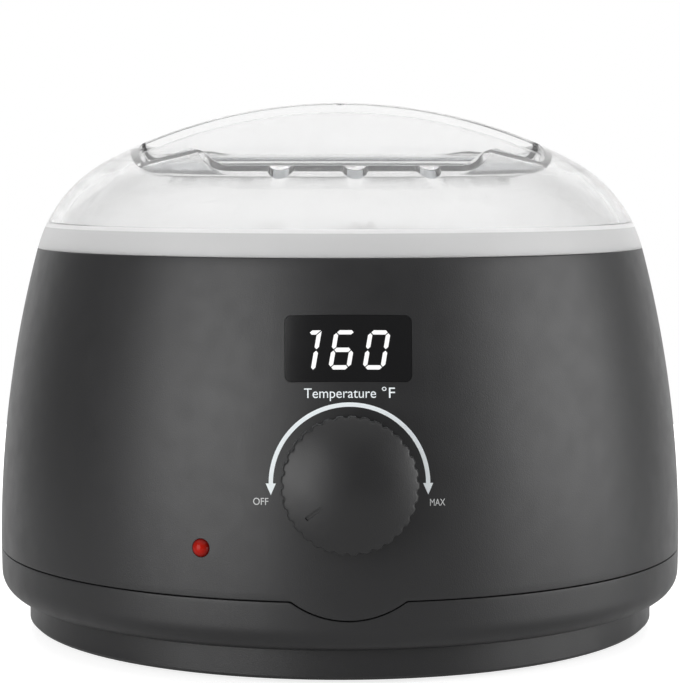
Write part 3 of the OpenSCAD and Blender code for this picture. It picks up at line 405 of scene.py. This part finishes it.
def digit_faces():
    """Lit segments of 160. The 1 runs the full height and meets its flag in a mitre."""
    s = DIGIT_STROKE / 2
    w, h = DIGIT_W / 2 - s, DIGIT_H / 2 - s
    g = DIGIT_GAP
    corners = [(-w, h), (w, h), (w, 0), (w, -h), (-w, -h), (-w, 0)]
    loop = [bar(corners[i], corners[(i + 1) % 6]) for i in range(6)]
    stem = [(w, g), (w + s, g + s), (w + s, h + s - g), (w - s, h - s - g), (w - s, g + s)]
    tip = w - FLAG_L
    flag = [(tip, h), (tip + s, h - s), (w - s - g, h - s), (w + s - g, h + s), (tip + s, h + s)]
    one = [stem, flag, bar((w, 0), (w, -h - s - g))]
    six = [loop[0], loop[2], loop[3], loop[4], loop[5], bar((-w, 0), (w, 0))]
    points, faces = [], []
    for x, segments in zip(DIGIT_X, (one, six, loop)):
        for segment in segments:
            faces.append(list(range(len(points), len(points) + len(segment))))
            points += [(x + p[0] + p[1] * DIGIT_LEAN, p[1] + DIGIT_Y) for p in segment]
    return wall_frame(0, DISPLAY_Z), points, faces


def letter_faces(text, x0, x1, z0, z1):
    """Faces of a word, fitted to a box on the front wall."""
    data = bpy.data.curves.new("word", "FONT")
    data.body = text
    data.resolution_u = LETTER_STEPS
    obj = bpy.data.objects.new("word", data)
    scene.collection.objects.link(obj)
    mesh = final_mesh(obj)
    bpy.data.objects.remove(obj)
    bm = bmesh.new()
    bm.from_mesh(mesh)
    bmesh.ops.remove_doubles(bm, verts=bm.verts, dist=LETTER_WELD)
    bm.verts.index_update()
    raw = [(v.co.x, v.co.y) for v in bm.verts]
    faces = [[v.index for v in (f.verts if f.normal.z > 0 else reversed(f.verts[:]))] for f in bm.faces]
    bm.free()
    left, right = min(p[0] for p in raw), max(p[0] for p in raw)
    top = max(p[1] for p in raw)
    mid = (z0 + z1) / 2
    rise = (z1 - z0) / math.cos(tilt_at(mid))
    points = [(x0 + (x - left) / (right - left) * (x1 - x0), (y / top - 0.5) * rise) for x, y in raw]
    return wall_frame(0, mid), points, faces


def build_print(white, grey):
    ink("heat_arc", white, arc_faces())
    ink("legend_temperature", white, letter_faces("Temperature", *TEMPERATURE_BOX))
    ink("legend_degrees", white, letter_faces("°F", *DEGREES_BOX))
    ink("legend_off", grey, letter_faces("OFF", *OFF_BOX))
    ink("legend_max", grey, letter_faces("MAX", *MAX_BOX))


# Shader nodes
NOISE_LOW, NOISE_HIGH = 0.3, 0.7


def new_material(name):
    mat = bpy.data.materials.new(name)
    mat.use_nodes = True
    tree = mat.node_tree
    return mat, tree, tree.nodes["Principled BSDF"]


def own_point(tree):
    return tree.nodes.new("ShaderNodeTexCoord").outputs["Object"]


def noise(tree, scale, detail):
    tex = tree.nodes.new("ShaderNodeTexNoise")
    tex.inputs["Scale"].default_value = scale
    tex.inputs["Detail"].default_value = detail
    tree.links.new(own_point(tree), tex.inputs["Vector"])
    return tex.outputs["Fac"]


def maths_node(tree, kind, operation, *inputs):
    """Maths node of a kind, with each input a plain value or another node's output."""
    node = tree.nodes.new(kind)
    node.operation = operation
    for socket, value in zip(node.inputs, inputs):
        if isinstance(value, bpy.types.NodeSocket):
            tree.links.new(value, socket)
        else:
            socket.default_value = value
    return node


def maths(tree, operation, *inputs):
    return maths_node(tree, "ShaderNodeMath", operation, *inputs).outputs["Value"]


def vector_maths(tree, operation, *inputs):
    return maths_node(tree, "ShaderNodeVectorMath", operation, *inputs).outputs["Value"]


def mapped(tree, value, start, end, first, last, how="LINEAR"):
    """Map the stretch from start to end onto the one from first to last."""
    node = tree.nodes.new("ShaderNodeMapRange")
    node.interpolation_type = how
    node.inputs["From Min"].default_value, node.inputs["From Max"].default_value = start, end
    node.inputs["To Min"].default_value, node.inputs["To Max"].default_value = first, last
    tree.links.new(value, node.inputs["Value"])
    return node.outputs["Result"]


def span(tree, value, a, b):
    """Map a noise value to a range."""
    return mapped(tree, value, NOISE_LOW, NOISE_HIGH, a, b)


def tint(tree, value, a, b):
    """Mix of two colours by a value from 0 to 1."""
    node = tree.nodes.new("ShaderNodeMix")
    node.data_type = "RGBA"
    node.inputs["A"].default_value, node.inputs["B"].default_value = (*a, 1), (*b, 1)
    tree.links.new(value, node.inputs["Factor"])
    return node.outputs["Result"]


# Materials
ROUGH_LOW, ROUGH_HIGH = 0.93, 1.07
# The lid's band: its mid radius, and the heights where its outside stops being frosted and below which its colour
# is greyed as painted shade
BAND_MID_R, FROST_Z, PAINTED_SHADE_Z = 73.6, 101.9, 100.95
WHITE, BAND_PAINTED_SHADE = (1, 1, 1), (0.7, 0.7, 0.7)
# Roughness and transmission of the lid, clear and frosted, each as the range that its haze wanders over
CLEAR_ROUGH, FROST_ROUGH, CLEAR_PASS, FROST_PASS = (0.02, 0.04), (0.36, 0.44), (0.96, 0.94), (0.3, 0.25)
HAZE_SCALE, HAZE_DETAIL, LID_IOR, LID_SCATTER, LID_EDGE, LID_EDGE_RAYS = 60, 3, 1.49, 0.003, 0.4, 6
# The red lens: distances from its middle in millimetres, and the glow at each
LENS_MID, LENS_RIM, LENS_MID_GLOW, LENS_RIM_GLOW, LENS_RED = 1.3, 2.0, 0.36, 0.02, (1, 0.02, 0.004)


def surface(name, colour, rough, vary, blotch, grain=0, depth=0.0, metal=0.0, spec=0.5):
    """Base colour and roughness that wander a little, with a fine moulded or brushed grain."""
    mat, tree, shader = new_material(name)
    a = tuple(c * (1 - vary) for c in colour)
    b = tuple(min(1, c * (1 + vary)) for c in colour)
    tree.links.new(tint(tree, noise(tree, blotch, 4), a, b), shader.inputs["Base Color"])
    sheen = span(tree, noise(tree, blotch * 3, 3), rough * ROUGH_LOW, rough * ROUGH_HIGH)
    tree.links.new(sheen, shader.inputs["Roughness"])
    shader.inputs["Metallic"].default_value = metal
    shader.inputs["Specular IOR Level"].default_value = spec
    if grain:
        bump = tree.nodes.new("ShaderNodeBump")
        bump.inputs["Strength"].default_value = 1
        bump.inputs["Distance"].default_value = depth
        tree.links.new(noise(tree, grain, 2), bump.inputs["Height"])
        tree.links.new(bump.outputs["Normal"], shader.inputs["Normal"])
    return mat


def lid_plastic():
    """Clear moulded plastic with a little haze, and a frosted band at the rim that is greyed lower down as painted
    shade.
    """
    mat, tree, shader = new_material("clear_plastic")
    point = own_point(tree)
    parts = tree.nodes.new("ShaderNodeSeparateXYZ")
    tree.links.new(point, parts.inputs["Vector"])
    z = parts.outputs["Z"]
    flat = maths_node(tree, "ShaderNodeVectorMath", "MULTIPLY", point, (1, 1, 0)).outputs["Vector"]
    radius = vector_maths(tree, "DISTANCE", flat, (0, AXIS_Y, 0))
    outside = maths(tree, "GREATER_THAN", radius, BAND_MID_R * MM)
    top = maths(tree, "MULTIPLY_ADD", outside, (FROST_Z - BAND_TOP) * MM, BAND_TOP * MM)
    band = maths(tree, "LESS_THAN", z, top)
    # Painted shade: below this height the lid's colour is greyed to stand in for the dark behind the band
    grey = maths(tree, "LESS_THAN", z, PAINTED_SHADE_Z * MM)

    def either(clear, frosted):
        node = tree.nodes.new("ShaderNodeMix")
        tree.links.new(band, node.inputs["Factor"])
        tree.links.new(span(tree, noise(tree, HAZE_SCALE, HAZE_DETAIL), *clear), node.inputs["A"])
        tree.links.new(span(tree, noise(tree, HAZE_SCALE, HAZE_DETAIL), *frosted), node.inputs["B"])
        return node.outputs["Result"]

    tree.links.new(either(CLEAR_ROUGH, FROST_ROUGH), shader.inputs["Roughness"])
    tree.links.new(either(CLEAR_PASS, FROST_PASS), shader.inputs["Transmission Weight"])
    tree.links.new(tint(tree, grey, WHITE, BAND_PAINTED_SHADE), shader.inputs["Base Color"])
    edge = tree.nodes.new("ShaderNodeBevel")
    edge.samples = LID_EDGE_RAYS
    edge.inputs["Radius"].default_value = LID_EDGE * MM
    tree.links.new(edge.outputs["Normal"], shader.inputs["Normal"])
    shader.inputs["IOR"].default_value = LID_IOR
    shader.inputs["Subsurface Weight"].default_value = 1
    shader.inputs["Subsurface Radius"].default_value = (1, 1, 1)
    shader.inputs["Subsurface Scale"].default_value = LID_SCATTER
    return mat


def red_lens():
    """Red dome with the lamp's light in its middle and a dark rim."""
    mat = surface("red_lens", (0.09, 0.003, 0.002), 0.14, 0.1, 300, spec=0.15)
    tree = mat.node_tree
    shader = tree.nodes["Principled BSDF"]
    tip = wall_frame(LIGHT_A, LIGHT_Z).translation * MM
    reach = vector_maths(tree, "DISTANCE", own_point(tree), (tip.x, tip.y + AXIS_Y, tip.z))
    fade = mapped(tree, reach, LENS_MID * MM, LENS_RIM * MM, LENS_MID_GLOW, LENS_RIM_GLOW)
    shader.inputs["Emission Color"].default_value = (*LENS_RED, 1)
    tree.links.new(fade, shader.inputs["Emission Strength"])
    return mat


def glow(mat, colour, strength):
    shader = mat.node_tree.nodes["Principled BSDF"]
    shader.inputs["Emission Color"].default_value = (*colour, 1)
    shader.inputs["Emission Strength"].default_value = strength
    return mat


def dress(mat, *names):
    for name in names:
        nodes[name].data.materials.clear()
        nodes[name].data.materials.append(mat)


# Camera, lamps, world and floor
def add_camera():
    data = bpy.data.cameras.new("camera")
    data.sensor_width = SENSOR
    data.lens = FOCAL_PX * SENSOR / FRAME_H
    data.clip_start = CLIP_START
    cam = bpy.data.objects.new("camera", data)
    cam.location = (-CAM_DIST * math.sin(CAM_AZ), AXIS_Y - CAM_DIST * math.cos(CAM_AZ), CAM_Z)
    cam.rotation_euler = (math.pi / 2 - CAM_PITCH, 0, -CAM_AZ)
    scene.collection.objects.link(cam)
    scene.camera = cam


def add_area(name, azimuth, width, power):
    """Softbox at an azimuth from the front, in degrees."""
    data = bpy.data.lights.new(name, "AREA")
    data.shape = "RECTANGLE"
    data.size, data.size_y = width, LAMP_H
    data.energy = power
    lamp = bpy.data.objects.new(name, data)
    a = math.radians(azimuth)
    lamp.location = (LAMP_DIST * math.sin(a), -LAMP_DIST * math.cos(a), LAMP_Z)
    lamp.rotation_euler = (Vector((0, 0, LAMP_AIM_Z)) - lamp.location).to_track_quat("-Z", "Y").to_euler()
    scene.collection.objects.link(lamp)


def add_world():
    """White behind and above and dim elsewhere, but white all round to the camera and through the lid."""
    world = bpy.data.worlds.new("world")
    scene.world = world
    world.use_nodes = True
    tree = world.node_tree
    coords = tree.nodes.new("ShaderNodeTexCoord")
    parts = tree.nodes.new("ShaderNodeSeparateXYZ")
    tree.links.new(coords.outputs["Generated"], parts.inputs["Vector"])
    path = tree.nodes.new("ShaderNodeLightPath")
    level = maths(tree, "MAXIMUM", path.outputs["Is Camera Ray"], path.outputs["Is Transmission Ray"])
    for axis, start, end in WORLD_RAMPS:
        ramp = mapped(tree, parts.outputs[axis], start, end, WORLD_DIM, 1, "SMOOTHSTEP")
        level = maths(tree, "MAXIMUM", ramp, level)
    back = tree.nodes["Background"]
    back.inputs["Color"].default_value = (*WHITE, 1)
    tree.links.new(level, back.inputs["Strength"])


def add_floor():
    """Pale floor that takes the shadow and runs out to white for the camera, and to less for reflections."""
    mesh = bpy.data.meshes.new("floor")
    bm = bmesh.new()
    bmesh.ops.create_circle(bm, cap_ends=True, radius=FLOOR_FAR, segments=FLOOR_STEPS)
    bm.to_mesh(mesh)
    bm.free()
    floor = bpy.data.objects.new("floor", mesh)
    scene.collection.objects.link(floor)
    mat, tree, shader = new_material("floor")
    shader.inputs["Base Color"].default_value = (FLOOR_GREY, FLOOR_GREY, FLOOR_GREY, 1)
    shader.inputs["Roughness"].default_value = FLOOR_ROUGH
    shader.inputs["Emission Color"].default_value = (*WHITE, 1)
    reach = vector_maths(tree, "LENGTH", own_point(tree))
    white = mapped(tree, reach, FLOOR_NEAR, FLOOR_FAR, FLOOR_LIFT, 1, "SMOOTHSTEP")
    path = tree.nodes.new("ShaderNodeLightPath")
    seen = maths(tree, "MULTIPLY_ADD", path.outputs["Is Glossy Ray"], FLOOR_GLOSS, path.outputs["Is Camera Ray"])
    tree.links.new(maths(tree, "MULTIPLY", white, seen), shader.inputs["Emission Strength"])
    mesh.materials.append(mat)


add_camera()
add_world()
add_floor()
add_area("left_box", azimuth=-44, width=1.0, power=12.2)
add_area("right_box", azimuth=75, width=1.15, power=13.0)

# Finishes that several materials share
SPARKED = {"vary": 0.06, "blotch": 60, "grain": 3800, "depth": 0.00003}
MOULDED = {"blotch": 100, "grain": 3000, "depth": 0.00003}
MACHINED = {"vary": 0.06, "blotch": 150, "grain": 2500, "depth": 0.00001, "metal": 1.0}

# What the photograph shows
charcoal = surface("charcoal", (0.013, 0.013, 0.0138), 0.4, **SPARKED)
build_housings(charcoal)
dress(charcoal, "bottom_cover")
build_knob(surface("knob", (0.009, 0.009, 0.0096), 0.42, **SPARKED))
white_ink = surface("white_ink", (0.88, 0.93, 0.95), 0.5, vary=0.03, blotch=400)
grey_ink = surface("grey_ink", (0.62, 0.63, 0.63), 0.5, vary=0.04, blotch=400)
build_print(white_ink, grey_ink)
dress(lid_plastic(), "lid")
dress(surface("window", (0.0065, 0.0065, 0.007), 0.2, vary=0.1, blotch=80, spec=0.3), "display_window")
lit = glow(surface("digit_light", (0.1, 0.1, 0.1), 0.4, vary=0.03, blotch=200), WHITE, 0.93)
ink("digit_segments", lit, digit_faces(), "digit_light", "display_digits")
dress(red_lens(), "indicator_lens")

# Inside and underneath
dress(surface("lamp", (0.8, 0.6, 0.55), 0.2, vary=0.05, blotch=200), "indicator_led")
dress(surface("rubber", (0.02, 0.02, 0.021), 0.75, vary=0.15, blotch=200, grain=2500, depth=0.00005),
      "rubber_feet", "cord_gland")
dress(surface("pot_metal", (0.82, 0.83, 0.84), 0.32, vary=0.03, blotch=50, grain=2200, depth=0.00001, metal=1.0),
      "wax_pot", "heating_well")
dress(surface("steel", (0.6, 0.6, 0.61), 0.3, **MACHINED),
      "well_bracket", "well_nut", "bracket_screws", "temperature_sensor", "sensor_clips", "housing_screws",
      "display_screws", "board_screws", "potentiometer", "potentiometer_shaft", "potentiometer_washer")
dress(surface("brass", (0.7, 0.52, 0.24), 0.3, **MACHINED), "potentiometer_nut")
dress(surface("mica", (0.36, 0.3, 0.22), 0.6, vary=0.2, blotch=120, grain=900, depth=0.0001),
      "heater_disc", "heater_band")
dress(surface("fibre", (0.78, 0.74, 0.64), 0.9, vary=0.1, blotch=300, grain=1800, depth=0.0002), "insulation_disc")
dress(surface("black_plastic", (0.02, 0.02, 0.022), 0.4, vary=0.1, **MOULDED), "display_module", "filter_capacitor")
dress(surface("solder_mask", (0.03, 0.16, 0.07), 0.35, vary=0.15, blotch=250, grain=1500, depth=0.00003),
      "display_board", "power_board")
dress(surface("relay_plastic", (0.05, 0.18, 0.45), 0.4, vary=0.06, **MOULDED), "relay")
dress(surface("white_plastic", (0.8, 0.79, 0.75), 0.45, vary=0.05, **MOULDED), "terminal_block", "thermal_fuse")
